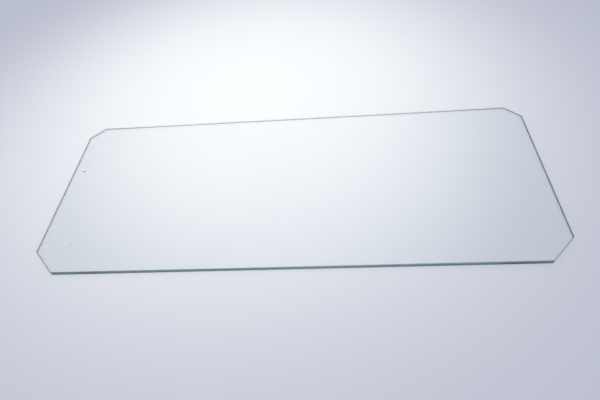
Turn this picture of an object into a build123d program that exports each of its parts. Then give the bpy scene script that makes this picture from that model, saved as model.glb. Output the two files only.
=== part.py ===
from build123d import *

import os

# Glass shelf of a refrigerator: one pane of toughened float glass that lies on the ledges of the
# cabinet. Its four corners are cut off at 45 degrees, with larger cuts along the front edge than
# along the back edge. Every edge is ground flat, and its two rims are seamed with a fine arris.
#
# Frame, in millimetres: +X to the right, +Y to the back of the cabinet, +Z up. The origin is the
# middle of the underside.

# Driving dimensions
WIDTH = 440.0  # left edge to right edge
DEPTH = 178.0  # front edge to back edge
THICKNESS = 4.0  # gauge of the glass
FRONT_CUT = 21.5  # leg of each corner cut at the front, along either edge
BACK_CUT = 13.5  # leg of each corner cut at the back, along either edge
CORNER_EASE = 2.0  # radius that the grinding leaves where a cut meets an edge
ARRIS = 0.5  # leg of the seamed arris on the upper and lower rims

PARTS_FOLDER = "parts"


def shelf_outline():
    """Plan of the pane: a rectangle with two sizes of corner cut and eased junctions."""
    plan = Rectangle(WIDTH, DEPTH)
    front_corners = plan.vertices().group_by(Axis.Y)[0]
    plan = chamfer(front_corners, FRONT_CUT)
    back_corners = plan.vertices().group_by(Axis.Y)[-1]
    plan = chamfer(back_corners, BACK_CUT)
    return fillet(plan.vertices(), CORNER_EASE)


def glass_pane():
    """The plan at its full thickness, with the arris ground round both rims."""
    blank = extrude(shelf_outline(), THICKNESS)
    lower_rim = blank.edges().group_by(Axis.Z)[0]
    upper_rim = blank.edges().group_by(Axis.Z)[-1]
    return chamfer(lower_rim + upper_rim, ARRIS)


os.makedirs(PARTS_FOLDER, exist_ok=True)
export_step(glass_pane(), f"{PARTS_FOLDER}/glass_pane.step")
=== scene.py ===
import math

import bmesh
import bpy
from bpy.props import FloatProperty, FloatVectorProperty, IntProperty, PointerProperty
from bpy.types import Operator, Panel, PropertyGroup
from mathutils import Matrix, Vector, noise


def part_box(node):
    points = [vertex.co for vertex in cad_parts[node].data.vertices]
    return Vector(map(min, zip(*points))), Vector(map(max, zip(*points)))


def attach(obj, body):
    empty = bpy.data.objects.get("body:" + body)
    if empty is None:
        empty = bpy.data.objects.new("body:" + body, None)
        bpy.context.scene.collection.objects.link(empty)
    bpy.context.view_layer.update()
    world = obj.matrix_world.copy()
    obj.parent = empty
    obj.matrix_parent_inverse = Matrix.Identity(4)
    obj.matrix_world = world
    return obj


bl_info = {
    "name": "Refrigerator Glass Shelf",
    "version": (1, 0, 0),
    "blender": (4, 5, 0),
    "location": "3D View > Sidebar > Glass Shelf",
    "description": "Finishes the glass shelf of a refrigerator and lays it on a lit studio table",
    "category": "Object",
}

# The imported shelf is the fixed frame: metres, +X right, +Y to the back, +Z up, underside at zero.
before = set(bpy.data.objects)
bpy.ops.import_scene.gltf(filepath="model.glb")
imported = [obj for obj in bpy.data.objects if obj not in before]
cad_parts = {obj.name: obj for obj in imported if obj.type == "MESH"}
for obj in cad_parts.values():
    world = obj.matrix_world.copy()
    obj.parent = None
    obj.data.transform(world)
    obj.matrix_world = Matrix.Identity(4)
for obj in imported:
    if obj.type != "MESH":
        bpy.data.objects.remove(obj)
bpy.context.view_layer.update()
PANE = "glass_pane"
BODY = "root"
PANE_LOW, PANE_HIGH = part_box(PANE)

MM = 0.001

# How level a surface of the pane lies, from 0 upright to 1 flat: the least for an arris and a face.
ARRIS_LEVEL = 0.4
FACE_LEVEL = 0.9

# Fine streaks along the ground edges, and how far they vary the roughness of the grind.
STREAK_STRETCH = (12.0, 12.0, 3000.0)
STREAK_GRAIN = {"Scale": 1.0, "Detail": 4.0, "Roughness": 0.6}
STREAK_SPAN = {"From Min": 0.3, "From Max": 0.7, "To Min": 0.6, "To Max": 1.4}

# Broad slanting wiping marks, and the part of their noise that shows.
WIPE_STRETCH = (4.0, 14.0, 4.0)
WIPE_TURN = math.radians(24.0)
WIPE_GRAIN = {"Scale": 1.6, "Detail": 6.0, "Roughness": 0.62, "Distortion": 0.8}
WIPE_SPAN = {"From Min": 0.5, "From Max": 0.75}

DIRT_ROUGHNESS = 0.9
DIRT_GRAIN = {"Scale": 4000.0, "Detail": 3.0}
DIRT_SHADES = (0.5, 1.5)  # darkest and palest mottling, as shares of the dirt's colour

CRUMB_SUBDIVISIONS = 3
CRUMB_SHAPE = (1.25, 0.7, 0.35)  # length, breadth and height, as shares of the mean width
CRUMB_RAGGEDNESS = 0.35
CRUMB_LUMPS = 2.2  # lumps to one mean width
DARK_SEED = 3.0
FAINT_SEED = 8.0

TABLE_SEGMENTS = 96

# Height in the mirrored room, 0 at the horizon and 1 overhead, where the ceiling begins and is full.
CEILING_START = 0.3
CEILING_FULL = 0.8

SENSOR_WIDTH = 36.0  # in millimetres
NEAR_CLIP = 10.0 * MM
LEVEL_LOOK = math.radians(90.0)  # turn that lifts a camera from straight down to the horizon


class ShelfGlassSettings(PropertyGroup):
    """Finish of the glass pane."""

    refractive_index: FloatProperty(
        name="Refractive index",
        description="How strongly the float glass bends light",
        default=1.52,
        min=1.0,
        max=2.5,
    )
    body_tint: FloatVectorProperty(
        name="Body tint",
        description="Colour that a few centimetres of glass leave of white light",
        subtype="COLOR",
        default=(0.55, 0.70, 0.73),
        min=0.0,
        max=1.0,
    )
    tint_density: FloatProperty(
        name="Tint density",
        description="How fast the body tint builds up, per metre of glass",
        default=20.6,
        min=0.0,
    )
    face_roughness: FloatProperty(
        name="Face roughness",
        description="Roughness of the fire polished upper and lower faces",
        subtype="FACTOR",
        default=0.0,
        min=0.0,
        max=1.0,
    )
    wipe_roughness: FloatProperty(
        name="Wipe roughness",
        description="Roughness that dried wiping marks add to the faces",
        subtype="FACTOR",
        default=0.03,
        min=0.0,
        max=1.0,
    )
    edge_roughness: FloatProperty(
        name="Edge roughness",
        description="Roughness of the flat ground edges",
        subtype="FACTOR",
        default=0.30,
        min=0.0,
        max=1.0,
    )
    arris_roughness: FloatProperty(
        name="Arris roughness",
        description="Roughness of the seamed arris along the rims",
        subtype="FACTOR",
        default=0.45,
        min=0.0,
        max=1.0,
    )
    # The face tint dims and cools what shows through the upper and lower faces a little, so the table
    # under the pane comes out a little darker than beside it.
    face_tint: FloatVectorProperty(
        name="Face tint",
        description="Colour that the film on the upper and lower faces leaves of white light",
        subtype="COLOR",
        default=(0.965, 0.976, 0.978),
        min=0.0,
        max=1.0,
    )
    # Painted shade, partly: the edge tint and, far more, the arris tint darken the lines along the rims
    # beyond what the grind itself takes out.
    edge_grind_and_shade: FloatVectorProperty(
        name="Edge tint",
        description="Colour that the grind of the flat edges leaves of white light",
        subtype="COLOR",
        default=(0.74, 0.92, 0.95),
        min=0.0,
        max=1.0,
    )
    arris_grind_and_shade: FloatVectorProperty(
        name="Arris tint",
        description="Colour that the grind of the arris leaves of white light",
        subtype="COLOR",
        default=(0.25, 0.285, 0.30),
        min=0.0,
        max=1.0,
    )


class ShelfSpeckSettings(PropertyGroup):
    """Crumbs of dirt that lie on the upper face."""

    dark_colour: FloatVectorProperty(
        name="Dark crumb colour",
        description="Colour of the dark crumb",
        subtype="COLOR",
        default=(0.022, 0.022, 0.030),
        min=0.0,
        max=1.0,
    )
    faint_colour: FloatVectorProperty(
        name="Faint crumb colour",
        description="Colour of the faint crumb",
        subtype="COLOR",
        default=(0.25, 0.243, 0.27),
        min=0.0,
        max=1.0,
    )
    dark_place: FloatVectorProperty(
        name="Dark crumb place",
        description="Where the dark crumb lies, from the middle of the pane",
        size=2,
        unit="LENGTH",
        default=(-208.6 * MM, 25.2 * MM),
    )
    dark_width: FloatProperty(
        name="Dark crumb width",
        description="Mean width of the dark crumb",
        unit="LENGTH",
        default=1.55 * MM,
    )
    faint_place: FloatVectorProperty(
        name="Faint crumb place",
        description="Where the faint crumb lies, from the middle of the pane",
        size=2,
        unit="LENGTH",
        default=(-190.6 * MM, -61.9 * MM),
    )
    faint_width: FloatProperty(
        name="Faint crumb width",
        description="Mean width of the faint crumb",
        unit="LENGTH",
        default=1.15 * MM,
    )


class ShelfStageSettings(PropertyGroup):
    """Table, light and camera."""

    # Painted pool of light: the table colour is its bright middle, the pool place and reach set where it
    # lies and how far it spreads, and the outer table colour is the grey-blue it fades to, which also
    # colours the backdrop.
    painted_pool_colour: FloatVectorProperty(
        name="Table colour",
        description="Colour of the pale table top",
        subtype="COLOR",
        default=(0.967, 0.985, 1.0),
        min=0.0,
        max=1.0,
    )
    floor_radius: FloatProperty(
        name="Table radius",
        description="How far the table top runs out towards the horizon",
        unit="LENGTH",
        default=60.0,
    )
    floor_gap: FloatProperty(
        name="Table gap",
        description="Air between the table top and the underside of the pane",
        unit="LENGTH",
        default=0.2 * MM,
    )
    painted_pool_place: FloatVectorProperty(
        name="Pool place",
        description="Middle of the brightest part of the table top",
        size=2,
        unit="LENGTH",
        default=(-0.056, 0.142),
    )
    painted_pool_reach: FloatProperty(
        name="Pool reach",
        description="How far from there the table top has fallen to its outer tone",
        unit="LENGTH",
        default=0.50,
    )
    falloff_and_backdrop_colour: FloatVectorProperty(
        name="Outer table colour",
        description="Colour of the table top far from its brightest part",
        subtype="COLOR",
        default=(0.49, 0.515, 0.615),
        min=0.0,
        max=1.0,
    )
    glow_share: FloatProperty(
        name="Glow share",
        description="Share of the table's tone that stays in the shadow of the pane",
        subtype="FACTOR",
        default=0.75,
        min=0.0,
        max=1.0,
    )
    dome_colour: FloatVectorProperty(
        name="Dome colour",
        description="Colour of the dome of light",
        subtype="COLOR",
        default=(1.0, 1.0, 1.0),
        min=0.0,
        max=1.0,
    )
    zenith_strength: FloatProperty(
        name="Zenith strength",
        description="Level of the dome of light straight overhead",
        default=1.24,
        min=0.0,
    )
    ceiling_colour: FloatVectorProperty(
        name="Ceiling colour",
        description="Colour of the ceiling that the faces of the pane mirror",
        subtype="COLOR",
        default=(0.06, 0.0625, 0.069),
        min=0.0,
        max=1.0,
    )
    lamp_way: FloatVectorProperty(
        name="Lamp direction",
        description="Way to the soft lamp that the faces of the pane mirror",
        subtype="DIRECTION",
        default=(-0.11, 0.70, 0.71),
    )
    lamp_spread: FloatProperty(
        name="Lamp spread",
        description="Angle from the middle of the lamp to the end of its glow",
        subtype="ANGLE",
        default=math.radians(28.5),
    )
    lamp_strength: FloatProperty(
        name="Lamp strength",
        description="Level of the lamp in its mirror image",
        default=1.7,
        min=0.0,
    )
    light_bounces: IntProperty(
        name="Light bounces",
        description="How often light may be thrown from face to face inside the pane",
        default=64,
        min=0,
    )
    camera_place: FloatVectorProperty(
        name="Camera place",
        description="Where the camera stands",
        subtype="TRANSLATION",
        unit="LENGTH",
        default=(0.0424, -0.2715, 0.3059),
    )
    camera_pan: FloatProperty(
        name="Camera pan",
        description="How far the camera looks to the right of straight back",
        subtype="ANGLE",
        default=math.radians(-8.17),
    )
    camera_tilt: FloatProperty(
        name="Camera tilt",
        description="How far the camera looks down",
        subtype="ANGLE",
        default=math.radians(50.05),
    )
    camera_roll: FloatProperty(
        name="Camera roll",
        description="How far the camera leans to the left",
        subtype="ANGLE",
        default=math.radians(-8.42),
    )
    camera_lens: FloatProperty(
        name="Focal length",
        description="Focal length on a sensor 36 mm wide",
        unit="CAMERA",
        default=26.93,
    )


def new_tree(owner):
    """The emptied node tree of a material or a world."""
    owner.use_nodes = True
    owner.node_tree.nodes.clear()
    return owner.node_tree


def add_node(tree, kind, inputs=None, **settings):
    """A node of that kind, with plain values on its inputs and its settings."""
    node = tree.nodes.new(kind)
    for name, value in settings.items():
        setattr(node, name, value)
    for name, value in (inputs or {}).items():
        node.inputs[name].default_value = value
    return node


def join(tree, start, end):
    """Links an output socket to an input socket."""
    tree.links.new(start, end)


def calculate(tree, operation, *values):
    """The result of a math node on these sockets and plain numbers."""
    node = add_node(tree, "ShaderNodeMath", operation=operation)
    for socket, value in zip(node.inputs, values):
        if isinstance(value, float):
            socket.default_value = value
        else:
            join(tree, value, socket)
    return node.outputs["Value"]


def compare(tree, operation, vector, fixed):
    """The number that a vector math node gives for a vector socket and one fixed vector."""
    node = add_node(tree, "ShaderNodeVectorMath", operation=operation)
    node.inputs[1].default_value = fixed
    join(tree, vector, node.inputs[0])
    return node.outputs["Value"]


def mapped(tree, value, span, climb="LINEAR"):
    """A value carried over from one span to another."""
    node = add_node(tree, "ShaderNodeMapRange", span, interpolation_type=climb)
    join(tree, value, node.inputs["Value"])
    return node.outputs["Result"]


def soft_step(tree, value, low, high):
    """Zero below the low value and one above the high one, with a smooth climb between."""
    return mapped(tree, value, {"From Min": low, "From Max": high}, "SMOOTHSTEP")


def blended(tree, share, first, second):
    """The first colour where the share is zero, and the second where it is one."""
    blend = add_node(tree, "ShaderNodeValToRGB")
    for stop, colour in zip(blend.color_ramp.elements, (first, second)):
        stop.color = (*colour, 1.0)
    join(tree, share, blend.inputs["Fac"])
    return blend.outputs["Color"]


def mixed(tree, share, first, second):
    """The first shader, with that share of the second."""
    mix = add_node(tree, "ShaderNodeMixShader")
    join(tree, share, mix.inputs["Fac"])
    join(tree, first, mix.inputs[1])
    join(tree, second, mix.inputs[2])
    return mix.outputs["Shader"]


def grey(value):
    """A plain number as a colour."""
    return (value, value, value)


def by_facing(tree, level, edge, arris, face):
    """One of three colours, by how level the surface lies: upright edge, sloping arris or flat face."""
    pick = add_node(tree, "ShaderNodeValToRGB")
    pick.color_ramp.interpolation = "CONSTANT"
    stops = pick.color_ramp.elements
    stops[1].position = ARRIS_LEVEL
    stops.new(FACE_LEVEL)
    for stop, colour in zip(stops, (edge, arris, face)):
        stop.color = (*colour, 1.0)
    join(tree, level, pick.inputs["Fac"])
    return pick.outputs["Color"]


def streaked_noise(tree, place, stretch, turn, grain):
    """Noise that is drawn out along the axes where the stretch is a small number."""
    mapping = add_node(tree, "ShaderNodeMapping", {"Scale": stretch, "Rotation": (0.0, 0.0, turn)})
    join(tree, place.outputs["Object"], mapping.inputs["Vector"])
    texture = add_node(tree, "ShaderNodeTexNoise", grain)
    join(tree, mapping.outputs["Vector"], texture.inputs["Vector"])
    return texture.outputs["Fac"]


def glass_material(settings):
    """Clear float glass: polished faces with faint wiping marks, ground edges and a duller arris, with
    painted shade darkening the edges and, far more, the arris.
    """
    material = bpy.data.materials.new("clear_float_glass")
    tree = new_tree(material)
    glass = add_node(
        tree,
        "ShaderNodeBsdfPrincipled",
        {"IOR": settings.refractive_index, "Transmission Weight": 1.0},
    )
    body = add_node(
        tree,
        "ShaderNodeVolumeAbsorption",
        {"Color": (*settings.body_tint, 1.0), "Density": settings.tint_density},
    )
    output = add_node(tree, "ShaderNodeOutputMaterial")
    join(tree, glass.outputs["BSDF"], output.inputs["Surface"])
    join(tree, body.outputs["Volume"], output.inputs["Volume"])

    place = add_node(tree, "ShaderNodeTexCoord")
    facing = add_node(tree, "ShaderNodeSeparateXYZ")
    join(tree, place.outputs["Normal"], facing.inputs["Vector"])
    level = calculate(tree, "ABSOLUTE", facing.outputs["Z"])
    # Painted shade, partly: the darker edge and arris colours darken the rims beyond the grind; the face
    # colour dims the faces a little.
    tint = by_facing(tree, level, settings.edge_grind_and_shade, settings.arris_grind_and_shade, settings.face_tint)
    join(tree, tint, glass.inputs["Base Color"])

    grind = by_facing(
        tree,
        level,
        grey(settings.edge_roughness),
        grey(settings.arris_roughness),
        grey(settings.face_roughness),
    )
    streaks = streaked_noise(tree, place, STREAK_STRETCH, 0.0, STREAK_GRAIN)
    depth = mapped(tree, streaks, STREAK_SPAN)
    wipes = streaked_noise(tree, place, WIPE_STRETCH, WIPE_TURN, WIPE_GRAIN)
    marks = mapped(tree, wipes, {**WIPE_SPAN, "To Max": settings.wipe_roughness})
    roughness = calculate(tree, "MULTIPLY_ADD", grind, depth, marks)
    join(tree, roughness, glass.inputs["Roughness"])
    return material


def dirt_material(name, colour):
    """Dry dirt: dull and mottled."""
    material = bpy.data.materials.new(name)
    tree = new_tree(material)
    dirt = add_node(tree, "ShaderNodeBsdfPrincipled", {"Roughness": DIRT_ROUGHNESS})
    output = add_node(tree, "ShaderNodeOutputMaterial")
    join(tree, dirt.outputs["BSDF"], output.inputs["Surface"])
    place = add_node(tree, "ShaderNodeTexCoord")
    grain = add_node(tree, "ShaderNodeTexNoise", DIRT_GRAIN)
    join(tree, place.outputs["Object"], grain.inputs["Vector"])
    darkest, palest = (Vector(colour) * share for share in DIRT_SHADES)
    mottling = blended(tree, grain.outputs["Fac"], darkest, palest)
    join(tree, mottling, dirt.inputs["Base Color"])
    return material


def seen_rays(tree):
    """One for rays that show the table, straight or by way of the pane, and zero for all others."""
    path = add_node(tree, "ShaderNodeLightPath")
    straight = path.outputs["Is Camera Ray"]
    mirrored = path.outputs["Is Glossy Ray"]
    through = path.outputs["Is Transmission Ray"]
    return calculate(tree, "MAXIMUM", calculate(tree, "MAXIMUM", straight, mirrored), through)


def table_material(settings):
    """Pale table top with weak shadows and a painted pool of light: brightest behind the shelf and
    greyer farther out.
    """
    material = bpy.data.materials.new("pale_table_painted_pool")
    material.cycles.emission_sampling = "NONE"
    tree = new_tree(material)
    place = add_node(tree, "ShaderNodeTexCoord")
    # Painted pool of light: the colour falls off with distance from the pool's middle, from the bright
    # table colour to the grey-blue outer one.
    distance = compare(tree, "DISTANCE", place.outputs["Object"], (*settings.painted_pool_place, 0.0))
    fall = mapped(tree, distance, {"From Max": settings.painted_pool_reach}, "SMOOTHERSTEP")
    tone = blended(tree, fall, settings.painted_pool_colour, settings.falloff_and_backdrop_colour)

    matt = add_node(tree, "ShaderNodeBsdfPrincipled", {"Roughness": 1.0, "Specular IOR Level": 0.0})
    # The glow carries the painted pool to the camera, to mirror images and to the view through the pane,
    # and keeps the pane's shadow weak.
    glow = add_node(tree, "ShaderNodeEmission")
    join(tree, tone, matt.inputs["Base Color"])
    join(tree, tone, glow.inputs["Color"])
    share = calculate(tree, "MULTIPLY", seen_rays(tree), settings.glow_share)
    surface = mixed(tree, share, matt.outputs["BSDF"], glow.outputs["Emission"])
    output = add_node(tree, "ShaderNodeOutputMaterial")
    join(tree, surface, output.inputs["Surface"])
    return material


def plain_light(tree, colour, strength=1.0):
    """An even background of that colour."""
    light = add_node(tree, "ShaderNodeBackground", {"Color": (*colour, 1.0), "Strength": strength})
    return light.outputs["Background"]


def room_world(settings):
    """A soft dome of light over a plain backdrop, and the ceiling and the lamp that the pane mirrors."""
    world = bpy.data.worlds.new("soft_dome")
    tree = new_tree(world)
    path = add_node(tree, "ShaderNodeLightPath")
    way = add_node(tree, "ShaderNodeTexCoord")
    parts = add_node(tree, "ShaderNodeSeparateXYZ")
    join(tree, way.outputs["Generated"], parts.inputs["Vector"])
    height = parts.outputs["Z"]
    backdrop = plain_light(tree, settings.falloff_and_backdrop_colour)

    overhead = plain_light(tree, settings.dome_colour, settings.zenith_strength)
    unseen = calculate(tree, "SUBTRACT", 1.0, path.outputs["Is Camera Ray"])
    lit = calculate(tree, "MULTIPLY", soft_step(tree, height, 0.0, 1.0), unseen)
    dome = mixed(tree, lit, backdrop, overhead)

    ceiling = plain_light(tree, settings.ceiling_colour)
    image = mixed(tree, soft_step(tree, height, CEILING_START, CEILING_FULL), backdrop, ceiling)
    lamp = plain_light(tree, settings.dome_colour, settings.lamp_strength)
    nearness = compare(tree, "DOT_PRODUCT", way.outputs["Generated"], settings.lamp_way.normalized())
    glow = soft_step(tree, nearness, math.cos(settings.lamp_spread), 1.0)
    image = mixed(tree, glow, image, lamp)

    # Rays that pass through the pane count as glossy too, so taking them off leaves the mirrored ones.
    glossy = path.outputs["Is Glossy Ray"]
    through = path.outputs["Is Transmission Ray"]
    mirrored = calculate(tree, "SUBTRACT", glossy, through)
    output = add_node(tree, "ShaderNodeOutputWorld")
    join(tree, mixed(tree, mirrored, dome, image), output.inputs["Surface"])
    return world


def mesh_object(name, shape, material):
    """A new mesh object from a filled bmesh, with its material."""
    mesh = bpy.data.meshes.new(name)
    shape.to_mesh(mesh)
    shape.free()
    mesh.materials.append(material)
    piece = bpy.data.objects.new(name, mesh)
    bpy.context.scene.collection.objects.link(piece)
    return piece


def crumb(name, place, width, seed, material):
    """One flat crumb with a ragged outline, resting on the upper face of the pane."""
    shape = bmesh.new()
    bmesh.ops.create_icosphere(shape, subdivisions=CRUMB_SUBDIVISIONS, radius=0.5 * width)
    for vertex in shape.verts:
        spot = vertex.co * (CRUMB_LUMPS / width) + Vector((seed, 0.0, 0.0))
        vertex.co *= 1.0 + CRUMB_RAGGEDNESS * noise.noise(spot)
    bmesh.ops.transform(shape, matrix=Matrix.Diagonal((*CRUMB_SHAPE, 1.0)), verts=shape.verts)
    lowest = min(vertex.co.z for vertex in shape.verts)
    shift = Vector((*place, PANE_HIGH.z - lowest))
    bmesh.ops.translate(shape, verts=shape.verts, vec=shift)
    piece = mesh_object(name, shape, material)
    piece.data.shade_smooth()
    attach(piece, BODY)


def table_top(settings):
    """The round table top, just under the pane."""
    shape = bmesh.new()
    bmesh.ops.create_circle(shape, cap_ends=True, segments=TABLE_SEGMENTS, radius=settings.floor_radius)
    bmesh.ops.translate(shape, verts=shape.verts, vec=(0.0, 0.0, PANE_LOW.z - settings.floor_gap))
    table = mesh_object("table_top", shape, table_material(settings))


def shelf_camera(settings):
    """The camera that looks down on the shelf from the front."""
    data = bpy.data.cameras.new("shelf_camera")
    data.sensor_width = SENSOR_WIDTH
    data.lens = settings.camera_lens
    data.clip_start = NEAR_CLIP
    camera = bpy.data.objects.new("shelf_camera", data)
    turn = (
        Matrix.Rotation(-settings.camera_pan, 3, "Z")
        @ Matrix.Rotation(LEVEL_LOOK - settings.camera_tilt, 3, "X")
        @ Matrix.Rotation(settings.camera_roll, 3, "Z")
    )
    camera.matrix_world = Matrix.Translation(settings.camera_place) @ turn.to_4x4()
    bpy.context.scene.collection.objects.link(camera)
    bpy.context.scene.camera = camera


class SHELF_OT_finish_pane(Operator):
    """Give the glass pane its finish"""

    bl_idname = "shelf.finish_pane"
    bl_label = "Finish Glass Pane"

    def execute(self, context):
        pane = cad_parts[PANE]
        pane.data.materials[0] = glass_material(context.scene.shelf_glass)
        return {"FINISHED"}


class SHELF_OT_lay_specks(Operator):
    """Lay the crumbs of dirt on the upper face of the pane"""

    bl_idname = "shelf.lay_specks"
    bl_label = "Lay Dirt Crumbs"

    def execute(self, context):
        settings = context.scene.shelf_specks
        dark = dirt_material("dark_dirt", settings.dark_colour)
        faint = dirt_material("faint_dirt", settings.faint_colour)
        crumb("dark_crumb", settings.dark_place, settings.dark_width, DARK_SEED, dark)
        crumb("faint_crumb", settings.faint_place, settings.faint_width, FAINT_SEED, faint)
        return {"FINISHED"}


class SHELF_OT_set_stage(Operator):
    """Set up the table, the light and the camera"""

    bl_idname = "shelf.set_stage"
    bl_label = "Set Stage"

    def execute(self, context):
        settings = context.scene.shelf_stage
        table_top(settings)
        shelf_camera(settings)
        context.scene.world = room_world(settings)
        tracing = context.scene.cycles
        # With fewer bounces the front edge goes black, and a blurred gloss dims what the pane shows.
        tracing.max_bounces = settings.light_bounces
        tracing.glossy_bounces = settings.light_bounces
        tracing.transmission_bounces = settings.light_bounces
        tracing.blur_glossy = 0.0
        context.scene.view_settings.view_transform = "Standard"
        return {"FINISHED"}


class SHELF_PT_sidebar(Panel):
    """Steps and settings of the glass shelf"""

    bl_idname = "SHELF_PT_sidebar"
    bl_label = "Glass Shelf"
    bl_space_type = "VIEW_3D"
    bl_region_type = "UI"
    bl_category = "Glass Shelf"

    def draw(self, context):
        for operator, group in STEPS:
            box = self.layout.box()
            box.operator(operator)
            settings = getattr(context.scene, group)
            for name in settings.__annotations__:
                box.prop(settings, name)


STEPS = (
    ("shelf.finish_pane", "shelf_glass"),
    ("shelf.lay_specks", "shelf_specks"),
    ("shelf.set_stage", "shelf_stage"),
)
GROUPS = {
    "shelf_glass": ShelfGlassSettings,
    "shelf_specks": ShelfSpeckSettings,
    "shelf_stage": ShelfStageSettings,
}
CLASSES = (
    *GROUPS.values(),
    SHELF_OT_finish_pane,
    SHELF_OT_lay_specks,
    SHELF_OT_set_stage,
    SHELF_PT_sidebar,
)


def register():
    """Adds the classes, and the settings to every scene."""
    for cls in CLASSES:
        bpy.utils.register_class(cls)
    for name, group in GROUPS.items():
        setattr(bpy.types.Scene, name, PointerProperty(type=group))


def unregister():
    """Takes the settings and the classes away again."""
    for name in GROUPS:
        delattr(bpy.types.Scene, name)
    for cls in reversed(CLASSES):
        bpy.utils.unregister_class(cls)


def main():
    """Makes the whole scene."""
    register()
    bpy.ops.shelf.finish_pane()
    bpy.ops.shelf.lay_specks()
    bpy.ops.shelf.set_stage()


if __name__ == "__main__":
    main()
